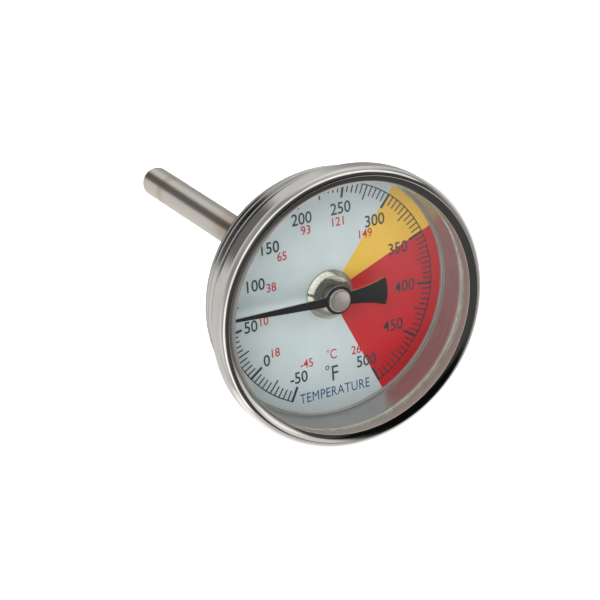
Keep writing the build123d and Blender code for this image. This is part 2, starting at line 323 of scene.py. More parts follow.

# %% [markdown]
# ## The bezel
# The bezel is a pressed ring, rolled over the case's rim to clamp the glass. Its front slopes down
# to the opening, a touch bulged, and its outer edge is a generous round. It is polished, so its look
# comes from what it mirrors, and the outline has to be exact. Polishing wheels do not reach the
# short wall beside the glass, so the finish turns dull there, by radius. That wall also gets a flat
# brownish grey and less metal, a painted shade and reflection for the dim look it has there.

# %% Bezel sizes
OPENING_RADIUS, CREST_RADIUS, BEZEL_RADIUS = 24.8, 26.4, 27.9
LIP_FRONT, BEZEL_FRONT, HEM_BACK, HEM_FRONT = -10.45, -10.9, -6.15, -6.3
BEZEL_WALL, LIP_WALL, HEM_RADIUS = 0.6, 0.5, 27.15
GLASS_FRONT, GLASS_BACK, GLASS_RADIUS = -8.6, -7.0, 26.6

# %% Bezel finish
tree, shader = bezel_polish.node_tree, bezel_polish.node_tree.nodes["Principled BSDF"]
lip = fade(tree, round_the_axis(tree)[0], (OPENING_RADIUS + 0.03) * MM, (OPENING_RADIUS + 0.15) * MM,
           1.0, 0.0)
polished = shader.inputs["Roughness"].links[0].from_socket
dulled = node(tree, "ShaderNodeMix", {0: lip, 2: polished, 3: 0.5}).outputs[0]
tree.links.new(dulled, shader.inputs["Roughness"])
bright = shader.inputs["Base Color"].links[0].from_socket
# Painted shade and reflection: the short wall beside the glass is coloured a flat brownish grey, and on the
# next line it loses most of its metal.
tree.links.new(mix_colour(tree, lip, bright, linear(150, 141, 134)), shader.inputs["Base Color"])
tree.links.new(fade(tree, lip, 0.0, 1.0, 1.0, 0.35), shader.inputs["Metallic"])

# %% Bezel ring
bezel_inside = BEZEL_RADIUS - BEZEL_WALL
bezel_outline = [
    (OPENING_RADIUS, GLASS_FRONT),
    (OPENING_RADIUS, LIP_FRONT),
    (OPENING_RADIUS + 0.8, LIP_FRONT - 0.28),
    (CREST_RADIUS, BEZEL_FRONT),
    (BEZEL_RADIUS, BEZEL_FRONT + 0.4),
    (BEZEL_RADIUS, HEM_BACK),
    (HEM_RADIUS, HEM_BACK),
    (HEM_RADIUS, HEM_FRONT),
    (bezel_inside, HEM_FRONT),
    (bezel_inside, BEZEL_FRONT + BEZEL_WALL),
    (CREST_RADIUS, BEZEL_FRONT + BEZEL_WALL),
    (OPENING_RADIUS + LIP_WALL, LIP_FRONT + BEZEL_WALL),
    (OPENING_RADIUS + LIP_WALL, GLASS_FRONT)]
lip_round, slope_bulge, crest_round, front_round, hem_round, inner_round = 0.2, 4.0, 0.2, 1.92, 0.5, 0.85
bezel_rounds = {1: lip_round, 2: slope_bulge, 3: crest_round, 4: front_round, 5: hem_round,
                9: inner_round}
turned_piece("bezel", "bezel_ring", bezel_outline, bezel_rounds, bezel_polish, steps=240)

# %% [markdown]
# ## The case
# Behind the bezel sits a deep-drawn cup. It narrows in three shoulders, each a thin ridge that shows
# as a bright line, then rounds over to a flat back. It is brushed round its axis.

# %% Case cup
SHOULDERS = ((26.4, -3.0), (25.3, 0.8), (24.55, 3.3))
CASE_WALL, CASE_BACK, CASE_HOLE_RADIUS = 0.65, 5.9, 5.0
RIM_BORE, RIM_RADIUS, RIM_FRONT, SEAT_DEPTH = 26.65, 27.25, -7.3, -5.9
NECK_RADIUS, HEEL_RADIUS, BACK_RADIUS = 27.1, 24.0, 22.6
HEEL_DEPTH = 4.7
DIAL_RADIUS, DIAL_THICKNESS, DIAL_LEDGE = 24.5, 0.8, 0.5


def shoulder(radius, depth):
    """Four corners of a step down, with the raised lip that drawing the metal leaves in front of it."""
    return [(radius + 0.09, depth - 0.4), (radius + 0.2, depth - 0.2), (radius + 0.12, depth),
            (radius - 0.22, depth + 0.2)]


outside = [corner for step in SHOULDERS for corner in shoulder(*step)]
case_outline = [
    (RIM_BORE, RIM_FRONT),
    (RIM_RADIUS, RIM_FRONT),
    (RIM_RADIUS, HEM_FRONT),
    (NECK_RADIUS, HEM_FRONT),
    *outside,
    (HEEL_RADIUS, HEEL_DEPTH),
    (BACK_RADIUS, CASE_BACK),
    (CASE_HOLE_RADIUS, CASE_BACK),
    (CASE_HOLE_RADIUS, CASE_BACK - CASE_WALL),
    (BACK_RADIUS - 0.3, CASE_BACK - CASE_WALL),
    (HEEL_RADIUS - CASE_WALL, HEEL_DEPTH - 0.3),
    (DIAL_RADIUS - DIAL_LEDGE, DIAL_THICKNESS),
    (SHOULDERS[1][0] - CASE_WALL, DIAL_THICKNESS),
    (SHOULDERS[0][0] - CASE_WALL, SHOULDERS[0][1]),
    (NECK_RADIUS - CASE_WALL - 0.2, SEAT_DEPTH),
    (RIM_BORE, SEAT_DEPTH)]
first_outside = 4
heel = first_outside + len(outside)
case_rounds = {index: 0.12 for index in range(first_outside, heel)}
case_rounds.update({heel: 0.7, heel + 1: 0.9, heel + 2: 0.1})
turned_piece("case", "case_cup", case_outline, case_rounds, case_brushing, steps=240)

# %% [markdown]
# ## Inside the bezel
# A pale gasket backs the glass and a satin ring holds it away from the dial. Through the glass the
# ring is the deep inner wall, and it mirrors the dial's colours. A rolled bead makes its foot.

# %% Gasket finish
gasket_rubber, tree, shader = start_finish("gasket_rubber", Subsurface_Weight=0.15, Subsurface_Scale=0.001)
tree.links.new(mix_colour(tree, fade(tree, blotches(tree, 1.5), 0.35, 0.65),
                          linear(172, 166, 156), linear(194, 188, 178)), shader.inputs["Base Color"])
tree.links.new(fade(tree, blotches(tree, 0.5), 0.3, 0.7, 0.5, 0.68), shader.inputs["Roughness"])
raise_bump(tree, shader, blotches(tree, 0.25), 6)

# %% Gasket and spacer ring
GASKET_BORE, GASKET_BACK = 25.05, -6.4
gasket_outline = [(GASKET_BORE, GLASS_BACK), (GLASS_RADIUS, GLASS_BACK), (GLASS_RADIUS, GASKET_BACK),
                  (GASKET_BORE, GASKET_BACK)]
gasket_edge = 0.12
gasket_rounds = {0: gasket_edge, 3: gasket_edge}
turned_piece("gasket", "lens_gasket", gasket_outline, gasket_rounds, gasket_rubber)

SPACER_TOP, SPACER_FOOT, SPACER_WALL = 24.95, 24.7, 0.45
BEAD_BORE, BEAD_DEPTH, BEAD_ROUND = 24.15, -0.7, 0.4
spacer_outline = [
    (SPACER_TOP, GASKET_BACK),
    (GLASS_RADIUS, GASKET_BACK),
    (GLASS_RADIUS, SEAT_DEPTH),
    (SPACER_TOP + SPACER_WALL, SEAT_DEPTH),
    (SPACER_FOOT + 0.3, BEAD_DEPTH),
    (SPACER_FOOT + 0.12, 0.0),
    (BEAD_BORE, 0.0),
    (BEAD_BORE, BEAD_DEPTH),
    (SPACER_FOOT, BEAD_DEPTH)]
spacer_rounds = {0: 0.15, 7: BEAD_ROUND, 8: 0.1}
turned_piece("spacer", "spacer_ring", spacer_outline, spacer_rounds, spacer_satin)

# %% [markdown]
# ## The dial plate
# The dial is a thin disc painted satin white. Paint on metal is never quite even, so its colour and
# gloss wander slightly, with a fine orange-peel bump.

# %% Painted dial
def paint_finish(name, colour, worn, rough=(0.38, 0.52), speck=0.6):
    """Paint or ink that varies gently between two close colours."""
    finish, tree, shader = start_finish(name)
    tree.links.new(mix_colour(tree, fade(tree, blotches(tree, 7.0), 0.3, 0.7), worn, colour),
                   shader.inputs["Base Color"])
    tree.links.new(fade(tree, blotches(tree, speck), 0.3, 0.7, *rough), shader.inputs["Roughness"])
    raise_bump(tree, shader, blotches(tree, speck), 2)
    return finish


dial_paint = paint_finish("dial_paint", linear(195, 202, 204), linear(187, 195, 198))
SLEEVE_HOLE = 3.05
dial_outline = [(SLEEVE_HOLE, 0.0), (DIAL_RADIUS, 0.0), (DIAL_RADIUS, DIAL_THICKNESS),
                (SLEEVE_HOLE, DIAL_THICKNESS)]
dial_edge = 0.06
turned_piece("dial", "dial_plate", dial_outline, {1: dial_edge, 2: dial_edge}, dial_paint)

# %% [markdown]
# ## Printed zones
# A yellow and a red zone mark the warm end of the scale. A mask in the dial's material would also
# do, but thin solids of ink keep a clean edge at any distance and stay sharp when exported.
# A face spun part of a turn makes a closed wedge.

# %% Ink zones
ZONE_INK, LINE_INK = 0.012, 0.024
ZONE_INNER, ZONE_OUTER = 4.2, 24.43
YELLOW_START, RED_START, RED_END = 38.5, 67.8, 155.4


def ink_band(shape, inner, outer, start, end, thickness):
    """A flat ring segment of ink, from one clock angle to another."""
    corners = [(inner, -thickness), (outer, -thickness), (outer, 0.0), (inner, 0.0)]
    points = [shape.verts.new(place(radius, depth, start)) for radius, depth in corners]
    edges = [shape.edges.new(pair) for pair in zip(points, points[1:] + points[:1])]
    face = shape.faces.new(points)
    bmesh.ops.spin(shape, geom=points + edges + [face], cent=(0, 0, 0), axis=(0, 1, 0), dvec=(0, 0, 0),
                   angle=radians(end - start), steps=max(2, round(abs(end - start))),
                   use_merge=False, use_duplicate=False)


yellow_ink = paint_finish("yellow_ink", linear(232, 184, 62), linear(225, 176, 58))
red_ink = paint_finish("red_ink", linear(198, 24, 34), linear(190, 20, 30))
ZONES = (("yellow_zone", YELLOW_START, RED_START, yellow_ink), ("red_zone", RED_START, RED_END, red_ink))
for zone, start, end, ink in ZONES:
    wedge = bmesh.new()
    ink_band(wedge, ZONE_INNER, ZONE_OUTER, start, end, ZONE_INK)
    set_piece(wedge, zone, ink)

# %% [markdown]
# ## The scale
# The pointer's coil does not turn evenly, so the printed scale is slightly uneven too. A table
# gives the clock angle of nine numbered marks, and all others are shared out evenly between them.
# Every tenth mark is long and bold, every fifth is long, and the rest are short.

# %% Scale marks
SCALE = {-50: -154.79, 0: -126.87, 50: -98.99, 250: 11.55, 300: 39.17, 350: 68.13, 400: 96.83,
         450: 125.97, 500: 154.79}
COLDEST, HOTTEST, DEGREES_PER_MARK = -50, 500, 5
MARK_KINDS = ((50, 19.15, 0.5), (25, 19.25, 0.3), (DEGREES_PER_MARK, 20.2, 0.27))
MARK_OUTER, RING_INNER, RING_OUTER, RING_OVERRUN = 22.25, 22.1, 22.32, 0.6


def scale_angle(degrees_f):
    """Clock angle of a reading on the Fahrenheit scale."""
    known = sorted(SCALE)
    low = max(k for k in known[:-1] if k <= degrees_f)
    high = known[known.index(low) + 1]
    return SCALE[low] + (SCALE[high] - SCALE[low]) * (degrees_f - low) / (high - low)


def scale_mark(shape, angle, inner, outer, width):
    """One printed stroke that points at the centre."""
    stroke = bmesh.ops.create_cube(shape, size=1.0)["verts"]
    bmesh.ops.scale(shape, verts=stroke, vec=(width * MM, LINE_INK * MM, (outer - inner) * MM))
    bmesh.ops.translate(shape, verts=stroke, vec=place((inner + outer) / 2, -LINE_INK / 2, 0.0))
    bmesh.ops.rotate(shape, verts=stroke, cent=(0, 0, 0), matrix=Matrix.Rotation(radians(angle), 3, "Y"))


marks = bmesh.new()
for reading in range(COLDEST, HOTTEST + 1, DEGREES_PER_MARK):
    inner, width = next(kind[1:] for kind in MARK_KINDS if reading % kind[0] == 0)
    scale_mark(marks, scale_angle(reading), inner, MARK_OUTER, width)
ring_start, ring_end = scale_angle(COLDEST) - RING_OVERRUN, scale_angle(HOTTEST) + RING_OVERRUN
ink_band(marks, RING_INNER, RING_OUTER, ring_start, ring_end, LINE_INK)
black_ink = paint_finish("black_ink", linear(44, 50, 58), linear(54, 60, 68), speck=0.3)
set_piece(marks, "scale_marks", black_ink)

# %% [markdown]
# ## Figures
# Numbers are text curves turned into meshes. The built-in letter is wider than the printed one, so
# it is squeezed, and its outline can be pushed outwards a little where the print is bold. The mesh is
# centred, scaled to its printed height and laid on the dial, all before it becomes a piece.

# %% Lettering helper
def add_lettering(shape, words, centre, height, squeeze=0.88, weight=0.004, gap=1.0):
    """Print words on the dial, centred on (across, up), with the given height."""
    curve = bpy.data.curves.new("lettering", "FONT")
    curve.body, curve.extrude, curve.offset, curve.resolution_u = words, 0.5, weight, 4
    curve.space_character = gap
    carrier = bpy.data.objects.new("lettering", curve)
    flat = bpy.data.meshes.new_from_object(carrier)
    bpy.data.objects.remove(carrier)
    bpy.data.curves.remove(curve)
    low = [min(v.co[i] for v in flat.vertices) for i in range(2)]
    high = [max(v.co[i] for v in flat.vertices) for i in range(2)]
    size = height * MM / (high[1] - low[1])
    to_middle = Matrix.Translation((-(low[0] + high[0]) / 2, -(low[1] + high[1]) / 2, 0))
    to_size = Matrix.Diagonal((size * squeeze, size, LINE_INK * MM, 1))
    upright = Matrix.Rotation(radians(90), 4, "X")
    on_dial = Matrix.Translation((centre[0] * MM, dial_face - LINE_INK * MM / 2, centre[1] * MM))
    flat.transform(on_dial @ upright @ to_size @ to_middle)
    shape.from_mesh(flat)
    bpy.data.meshes.remove(flat)


def add_degree_ring(shape, centre, radius, stroke):
    """The small ring of a degree sign, made on the axis and then moved to its place."""
    before = set(shape.verts)
    corners = [(radius - stroke, -LINE_INK), (radius, -LINE_INK), (radius, 0.0), (radius - stroke, 0.0)]
    points = [shape.verts.new(place(*corner)) for corner in corners]
    edges = [shape.edges.new(pair) for pair in zip(points, points[1:] + points[:1])]
    bmesh.ops.spin(shape, geom=points + edges, cent=(0, 0, 0), axis=(0, 1, 0), dvec=(0, 0, 0),
                   angle=2 * pi, steps=24, use_merge=True, use_duplicate=False)
    new = [v for v in shape.verts if v not in before]
    bmesh.ops.translate(shape, verts=new, vec=(centre[0] * MM, 0, centre[1] * MM))


# %% Black Fahrenheit figures
BLACK_FIGURES = {
    "200": (-4.8, 16.4), "250": (3.52, 16.78), "150": (-11.75, 12.07), "100": (-15.3, 5.3),
    "50": (-16.97, -2.75), "0": (-14.2, -10.37), "-50": (-7.7, -15.5), "500": (7.0, -15.4),
    "450": (13.2, -9.55), "400": (16.26, -2.04), "350": (15.26, 6.04), "300": (10.63, 12.78)}
BLACK_HEIGHT, FAHRENHEIT_HEIGHT = 2.4, 3.1
figures = bmesh.new()
for words, centre in BLACK_FIGURES.items():
    add_lettering(figures, words, centre, BLACK_HEIGHT, weight=0.01)
add_lettering(figures, "F", (0.1, -16.4), FAHRENHEIT_HEIGHT, squeeze=0.82)
add_degree_ring(figures, (-1.5, -15.0), radius=0.47, stroke=0.2)
set_piece(figures, "fahrenheit_figures", black_ink)

# %% Red Celsius figures
RED_FIGURES = {
    "93": (-4.1, 13.95), "121": (2.8, 14.2), "65": (-9.45, 9.85), "38": (-12.1, 4.15),
    "10": (-14.1, -2.25), "18": (-12.2, -9.2), "-45": (-5.85, -13.0), "260": (5.5, -12.7),
    "149": (8.5, 10.5)}
red_print = paint_finish("red_print", linear(196, 46, 48), linear(186, 42, 44), speck=0.3)
RED_HEIGHT, CELSIUS_HEIGHT = 1.8, 2.0
figures = bmesh.new()
for words, centre in RED_FIGURES.items():
    add_lettering(figures, words, centre, RED_HEIGHT, weight=0.01)
add_lettering(figures, "C", (0.0, -12.4), CELSIUS_HEIGHT, squeeze=0.8)
add_degree_ring(figures, (-1.1, -11.6), radius=0.3, stroke=0.13)
set_piece(figures, "celsius_figures", red_print)

# %% [markdown]
# The word under the scale is plain, so that the dial says what it measures and nothing else.

# %% Plain title
blue_print = paint_finish("blue_print", linear(30, 72, 142), linear(26, 64, 130), speck=0.3)
title = bmesh.new()
add_lettering(title, "TEMPERATURE", (-0.2, -20.1), height=2.0, squeeze=0.76, weight=0.0, gap=1.08)
set_piece(title, "dial_title", blue_print)

# %% [markdown]
# ## Hub nut
# A low nickel nut with a bevelled rim clamps the dial to the sleeve behind it. It sits deep under
# the pointer, and its bevel is the bright ring seen round the pointer's hub.

# %% Nut
NUT_RADIUS, NUT_FACE_RADIUS, NUT_WINDOW = 4.92, 3.95, 2.2
NUT_SIDE, NUT_FRONT, NUT_INSIDE = -0.4, -1.25, -0.85
nut_outline = [
    (SLEEVE_HOLE, 0.0),
    (NUT_RADIUS, 0.0),
    (NUT_RADIUS, NUT_SIDE),
    (NUT_FACE_RADIUS, NUT_FRONT),
    (NUT_WINDOW, NUT_FRONT),
    (NUT_WINDOW, NUT_INSIDE),
    (SLEEVE_HOLE, NUT_INSIDE)]
turned_piece("nut", "hub_nut", nut_outline, {2: 0.1, 3: 0.15, 4: 0.08}, nut_nickel)

# %% [markdown]
# ## The pointer
# The pointer is blanked from thin sheet and sprayed black from the front, so its cut edge stays
# bare. Its CAD outline is right, so a copy of that mesh is welded, its flat sides are made whole and
# its edges get a tiny bevel. The finish tells front from edge by the way a face points.

# %% Pointer finish
pointer_paint, tree, shader = start_finish("pointer_paint")
facing = node(tree, "ShaderNodeSeparateXYZ", {0: node(tree, "ShaderNodeNewGeometry").outputs["Normal"]})
painted = fade(tree, calc(tree, "ABSOLUTE", facing.outputs[1]), 0.35, 0.75)
ink_black = mix_colour(tree, blotches(tree, 1.2), linear(9, 9, 11), linear(19, 19, 22))
tree.links.new(mix_colour(tree, painted, linear(200, 198, 192), ink_black), shader.inputs["Base Color"])
tree.links.new(calc(tree, "SUBTRACT", 1.0, painted), shader.inputs["Metallic"])
tree.links.new(fade(tree, calc(tree, "MULTIPLY", painted, blotches(tree, 0.4)), 0.0, 0.7, 0.25, 0.5),
               shader.inputs["Roughness"])
raise_bump(tree, shader, blotches(tree, 0.2), 3)

# %% Pointer blade
SPRAYED_EDGE = 0.04
blade = bmesh.new()
blade.from_mesh(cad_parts["pointer"].data)
bmesh.ops.remove_doubles(blade, verts=blade.verts[:], dist=1e-6)
bmesh.ops.dissolve_limit(blade, angle_limit=radians(1), verts=blade.verts[:], edges=blade.edges[:])
rim = [edge for edge in blade.edges if edge.is_manifold and edge.calc_face_angle() > radians(60)
       and abs(edge.verts[0].co.y - edge.verts[1].co.y) < 1e-6]
bmesh.ops.bevel(blade, geom=rim, offset=SPRAYED_EDGE * MM, offset_type="OFFSET", affect="EDGES", segments=2,
                profile=0.5, material=-1)
set_piece(blade, "pointer_blade", pointer_paint, TURNING, stands_for="pointer")

# %% [markdown]
# The cap covers the end of the spindle. Its outline starts and ends on the axis, so the spin closes
# it at a pole and no closing edge is drawn.

# %% Pointer cap
CAP_RADIUS, CAP_FRONT, CAP_BACK, CAP_ROUND = 2.3, -4.75, -4.0, 0.45
SPINDLE_RADIUS, SPINDLE_FRONT = 0.8, -4.3
cap_outline = [
    (0.0, CAP_FRONT),
    (CAP_RADIUS, CAP_FRONT),
    (CAP_RADIUS, CAP_BACK),
    (SPINDLE_RADIUS, CAP_BACK),
    (SPINDLE_RADIUS, SPINDLE_FRONT),
    (0.0, SPINDLE_FRONT)]
turned_piece("cap", "pointer_cap", cap_outline, {1: CAP_ROUND}, cap_nickel, TURNING,
             closed=False, steps=96)

# %% [markdown]
# ## The glass
# The lens is a flat pane. It lets nearly all light through and mirrors a little, more at a slant,
# which is what the Fresnel node gives. A refracting glass would be truer, but it is slow and noisy
# over a whole dial; a clear pane with a faint mirror on its front looks the same from outside.

# %% Glass finish and lens
clear_glass, tree, shader = start_finish("clear_glass", Metallic=1.0, Base_Color=(0.95, 0.97, 0.98, 1.0))
tree.links.new(fade(tree, blotches(tree, 9.0), 0.4, 0.7, 0.01, 0.03), shader.inputs["Roughness"])
see_through = node(tree, "ShaderNodeBsdfTransparent", {0: (0.97, 0.985, 0.98, 1.0)})
slant = node(tree, "ShaderNodeFresnel", {"IOR": 1.52}).outputs[0]
behind = node(tree, "ShaderNodeNewGeometry").outputs["Backfacing"]
mirror_share = calc(tree, "MULTIPLY", slant, calc(tree, "SUBTRACT", 1.0, behind))
pane = node(tree, "ShaderNodeMixShader", {0: mirror_share, 1: see_through.outputs[0], 2: shader.outputs[0]})
tree.links.new(pane.outputs[0], tree.nodes["Material Output"].inputs["Surface"])
ground_edge = 0.2
lens_outline = [
    (0.0, GLASS_FRONT),
    (GLASS_RADIUS, GLASS_FRONT),
    (GLASS_RADIUS, GLASS_BACK),
    (0.0, GLASS_BACK)]
turned_piece("glass", "lens", lens_outline, {1: ground_edge, 2: ground_edge}, clear_glass,
             closed=False)

# %% [markdown]
# ## The stem
# A satin tube closed by a welded plug. Welding left a faint ring at the plug, an oxide colour that
# fades from straw to brown. Where the tube leaves the fitting it gets a brown painted shade. Both
# are laid over the steel's colour by depth, with an uneven edge.

# %% Stem finish
# The first colour is painted shade: a brown shadow laid on the tube just behind the fitting. The second is
# the weld's oxide tint at the plug.
ROOT_PAINTED_SHADE, JOINT_TINT = linear(150, 116, 84), linear(176, 150, 118)
plug_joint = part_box("stem_tube")[1].y


def stem_steel(name):
    """Satin steel with a brown painted shade at the case end and a weld tint at the plug's joint."""
    finish = metal_finish(name, linear(206, 200, 190), smooth=0.2, rough=0.27, fine=3200.0, slow=1.5,
                          bump_um=0.5, stretch=0.2, shade=0.95)
    tree = finish.node_tree
    shader = tree.nodes["Principled BSDF"]
    steel = shader.inputs["Base Color"].links[0].from_socket
    here = node(tree, "ShaderNodeTexCoord").outputs["Object"]
    along = node(tree, "ShaderNodeSeparateXYZ", {0: here}).outputs[1]
    wander = calc(tree, "MULTIPLY", calc(tree, "SUBTRACT", blotches(tree, 2.5), 0.5), 3 * MM)
    uneven = calc(tree, "ADD", along, wander)
    before_joint = fade(tree, uneven, plug_joint - 3.5 * MM, plug_joint)
    after_joint = fade(tree, uneven, plug_joint, plug_joint + 2 * MM, 1.0, 0.0)
    joint_share = calc(tree, "MULTIPLY", calc(tree, "MULTIPLY", before_joint, after_joint), 0.45)
    # Painted shade: brown on the tube behind the fitting, fading out along the tube.
    root_shade_share = calc(tree, "MULTIPLY", fade(tree, uneven, 2 * MM, 20 * MM, 1.0, 0.0), 0.8)
    with_joint = mix_colour(tree, joint_share, steel, JOINT_TINT)
    tree.links.new(mix_colour(tree, root_shade_share, with_joint, ROOT_PAINTED_SHADE), shader.inputs["Base Color"])
    return finish


stem_satin = stem_steel("stem_satin")

# %% Stem tube and plug
STEM_RADIUS, STEM_BORE, FITTING_BORE = 3.175, 2.6, 3.0
STEM_FRONT, FITTING_BACK, STEM_BACK = 8.5, 31.6, 73.6
PLUG_FRONT, PLUG_BACK, TIP_ROUND, JOINT_GROOVE = 71.2, 82.4, 0.7, 0.05
stem_outline = [
    (STEM_BORE, STEM_FRONT),
    (FITTING_BORE, STEM_FRONT),
    (FITTING_BORE, FITTING_BACK),
    (STEM_RADIUS, FITTING_BACK),
    (STEM_RADIUS, STEM_BACK),
    (STEM_BORE, STEM_BACK)]
turned_piece("stem", "stem_tube", stem_outline, {4: JOINT_GROOVE}, stem_satin, steps=96)
plug_outline = [
    (0.0, PLUG_FRONT),
    (STEM_BORE, PLUG_FRONT),
    (STEM_BORE, STEM_BACK),
    (STEM_RADIUS, STEM_BACK),
    (STEM_RADIUS, PLUG_BACK),
    (0.0, PLUG_BACK)]
turned_piece("plug", "tip_plug", plug_outline, {3: JOINT_GROOVE, 4: TIP_ROUND}, stem_satin,
             closed=False, steps=96)

# %% [markdown]
# ## The fitting
# Behind the case a hexagon takes a spanner and a tapered thread screws into a vessel. The hexagon
# starts as a circle of points pulled out to six sides, and its corners are cut back by a cone,
# which leaves the curved corner faces of a real one. The thread is one section spun with a rise,
# so it is a true helix, and is then drawn in towards its end for the taper.

# %% Fitting sizes
ACROSS_FLATS, HEX_FRONT, HEX_BACK = 14.29, 6.5, 14.3
HEX_FACE_RADIUS, CHAMFER_SLOPE, CHAMFER_DEPTH, CHAMFER_RINGS = 7.9, 1.0 / 0.6, 0.22, 3
SPIGOT_RADIUS, SPIGOT_FRONT = 4.9, 2.3
THREAD_START, THREAD_END, PITCH, RIDGE = 15.9, 31.0, 1.411, 1.0
THREAD_RADIUS, TAPER, THREAD_TURNS, STEPS_PER_TURN = 6.86, 1 / 32, 9.6, 60
CORE_START, CORE_END, CORE_TIP = 5.86, 5.4, 4.9
HEX_BLANK, HEX_INSIDE = 7.0, 6.5


def hexagon_radius(angle):
    """Distance from the axis to the hexagon's side at a clock angle in radians."""
    off_middle = (angle + pi / 6) % (pi / 3) - pi / 6
    return ACROSS_FLATS / 2 / cos(off_middle)


# %% Hexagon and core
def pull_to_radius(point, radius_at):
    """Move a point straight out or in, to the radius that a rule gives for its present one."""
    radius = Vector((point.co.x, point.co.z)).length / MM
    wanted = radius_at(radius, (point.co.y - dial_face) / MM, atan2(point.co.z, point.co.x))
    point.co.x *= wanted / radius
    point.co.z *= wanted / radius


def hexagon_rule(radius, depth, angle):
    """The hexagon's side, cut back near both faces; anything inside it stays where it is."""
    if radius < HEX_INSIDE:
        return radius
    from_face = min(depth - HEX_FRONT, HEX_BACK - depth)
    return min(hexagon_radius(angle + pi / 6), HEX_FACE_RADIUS + CHAMFER_SLOPE * from_face)


cuts = [CHAMFER_DEPTH * ring / CHAMFER_RINGS for ring in range(CHAMFER_RINGS + 1)]
hexagon_rings = [HEX_FRONT + cut for cut in cuts] + [HEX_BACK - cut for cut in reversed(cuts)]
core = [
    (FITTING_BORE, SPIGOT_FRONT),
    (SPIGOT_RADIUS, SPIGOT_FRONT),
    (SPIGOT_RADIUS, HEX_FRONT),
    *[(HEX_BLANK, depth) for depth in hexagon_rings],
    (CORE_START, HEX_BACK),
    (CORE_START, THREAD_START),
    (CORE_END, THREAD_END),
    (CORE_TIP, FITTING_BACK),
    (FITTING_BORE, FITTING_BACK)]
fitting = bmesh.new()
draw_outline(fitting, core, {})
spin_outline(fitting, 144)
bmesh.ops.remove_doubles(fitting, verts=fitting.verts[:], dist=1e-7)
for point in fitting.verts:
    pull_to_radius(point, hexagon_rule)
print("fitting before its thread:", len(fitting.faces), "faces")

# %% Helical thread
def taper_rule(radius, depth, angle):
    """The thread draws in steadily from its start, the same on all sides."""
    return radius - (depth - THREAD_START) * TAPER


ridge_foot = THREAD_RADIUS - RIDGE - 0.15
ridge = [(ridge_foot, 0.0), (THREAD_RADIUS, 0.6), (THREAD_RADIUS, 0.8), (ridge_foot, PITCH)]
core_points = set(fitting.verts)
section = [fitting.verts.new(place(radius, THREAD_START + rise)) for radius, rise in ridge]
sides = [fitting.edges.new(pair) for pair in zip(section, section[1:] + section[:1])]
end_face = fitting.faces.new(section)
bmesh.ops.spin(fitting, geom=section + sides + [end_face], cent=(0, 0, 0), axis=(0, 1, 0),
               dvec=(0, PITCH * MM / STEPS_PER_TURN, 0), angle=2 * pi * THREAD_TURNS,
               steps=round(STEPS_PER_TURN * THREAD_TURNS), use_merge=False, use_duplicate=False)
for point in set(fitting.verts) - core_points:
    pull_to_radius(point, taper_rule)
set_piece(fitting, "fitting", fitting_steel, stands_for="hex_fitting", corner=22)

# %% [markdown]
# ## Hidden pieces
# The pieces inside keep their CAD shape. They show only in cut-open or exported views, apart from
# the front bearing in the nut's window, but they still get a proper finish: brass for the turned
# bushes, a grey plastic for the bearings that is darker than their own pale colour, as painted
# shade for the nut's window, dark fibre for the seal, and a warm, faintly coppery steel for the
# bimetal strip.

# %% Plastic bearing, seal and bimetal
# Painted shade: the bearings are a darker grey than their pale plastic, so that the hole in the nut looks
# dark.
bearing_plastic_painted_shade = paint_finish("bearing_plastic_painted_shade", linear(124, 121, 118), linear(108, 106, 104),
                               rough=(0.32, 0.45))
seal_fibre = paint_finish("seal_fibre", linear(70, 66, 62), linear(52, 49, 46), rough=(0.55, 0.75),
                          speck=0.25)
bimetal_strip = metal_finish("bimetal_strip", linear(198, 170, 140), smooth=0.2, rough=0.36, fine=5000.0,
                             slow=3.0, bump_um=0.8)
CARRIED = {
    "hub_sleeve": turned_brass, "front_bearing": bearing_plastic_painted_shade, "pointer_bushing": turned_brass,
    "spindle": spindle_steel, "helix_collar": turned_brass, "bimetal_helix": bimetal_strip,
    "helix_anchor": turned_brass, "spindle_guides": bearing_plastic_painted_shade, "case_seal": seal_fibre,
    "lock_washer": fastener_zinc, "back_nut": fastener_zinc}
for name, finish in CARRIED.items():
    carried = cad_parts[name]
    carried.data.materials.clear()
    carried.data.materials.append(finish)
print("carried over:", ", ".join(CARRIED))

# %% [markdown]
# ## Floor
# A wide pale floor, a little below the thermometer; its height and reach are in metres. Mirror rays
# skip it, so that the polished metal shows the studio's light and dark panels and not one flat
# white.

# %% Pale floor
FLOOR_HEIGHT, FLOOR_REACH = -0.075, 6.0
floor_shape = bmesh.new()
bmesh.ops.create_grid(floor_shape, x_segments=2, y_segments=2, size=FLOOR_REACH)
bmesh.ops.translate(floor_shape, verts=floor_shape.verts[:], vec=(0, 0, FLOOR_HEIGHT))
floor_mesh = bpy.data.meshes.new("floor")
floor_shape.to_mesh(floor_mesh)
floor_shape.free()
floor = bpy.data.objects.new("floor", floor_mesh)
bpy.context.scene.collection.objects.link(floor)
floor_paper = paint_finish("floor_paper", (0.93, 0.93, 0.93, 1.0), (0.92, 0.92, 0.92, 1.0), rough=(0.8, 0.9))
floor_mesh.materials.append(floor_paper)
floor.visible_glossy = False

# %% [markdown]
# ## Studio surroundings
# Polished metal is only as good as what it mirrors. The surroundings are a sum of soft panels,
# each a direction, a size and a brightness, and negative ones that stand for black cards. Rays
# straight from the camera see a plain pale backdrop instead.

# %% Panels of light and dark
studio = bpy.data.worlds.new("studio")
bpy.context.scene.world = studio
studio.use_nodes = True
tree = studio.node_tree
towards = node(tree, "ShaderNodeTexCoord").outputs["Generated"]


def panel(direction, full, none, brightness):
    """Soft round panel: full brightness within one angle of a direction and none beyond another."""
    aim = tuple(Vector(direction).normalized())
    dot = node(tree, "ShaderNodeVectorMath", {0: towards, 1: aim}, operation="DOT_PRODUCT").outputs["Value"]
    return fade(tree, dot, cos(radians(none)), cos(radians(full)), 0.0, brightness)


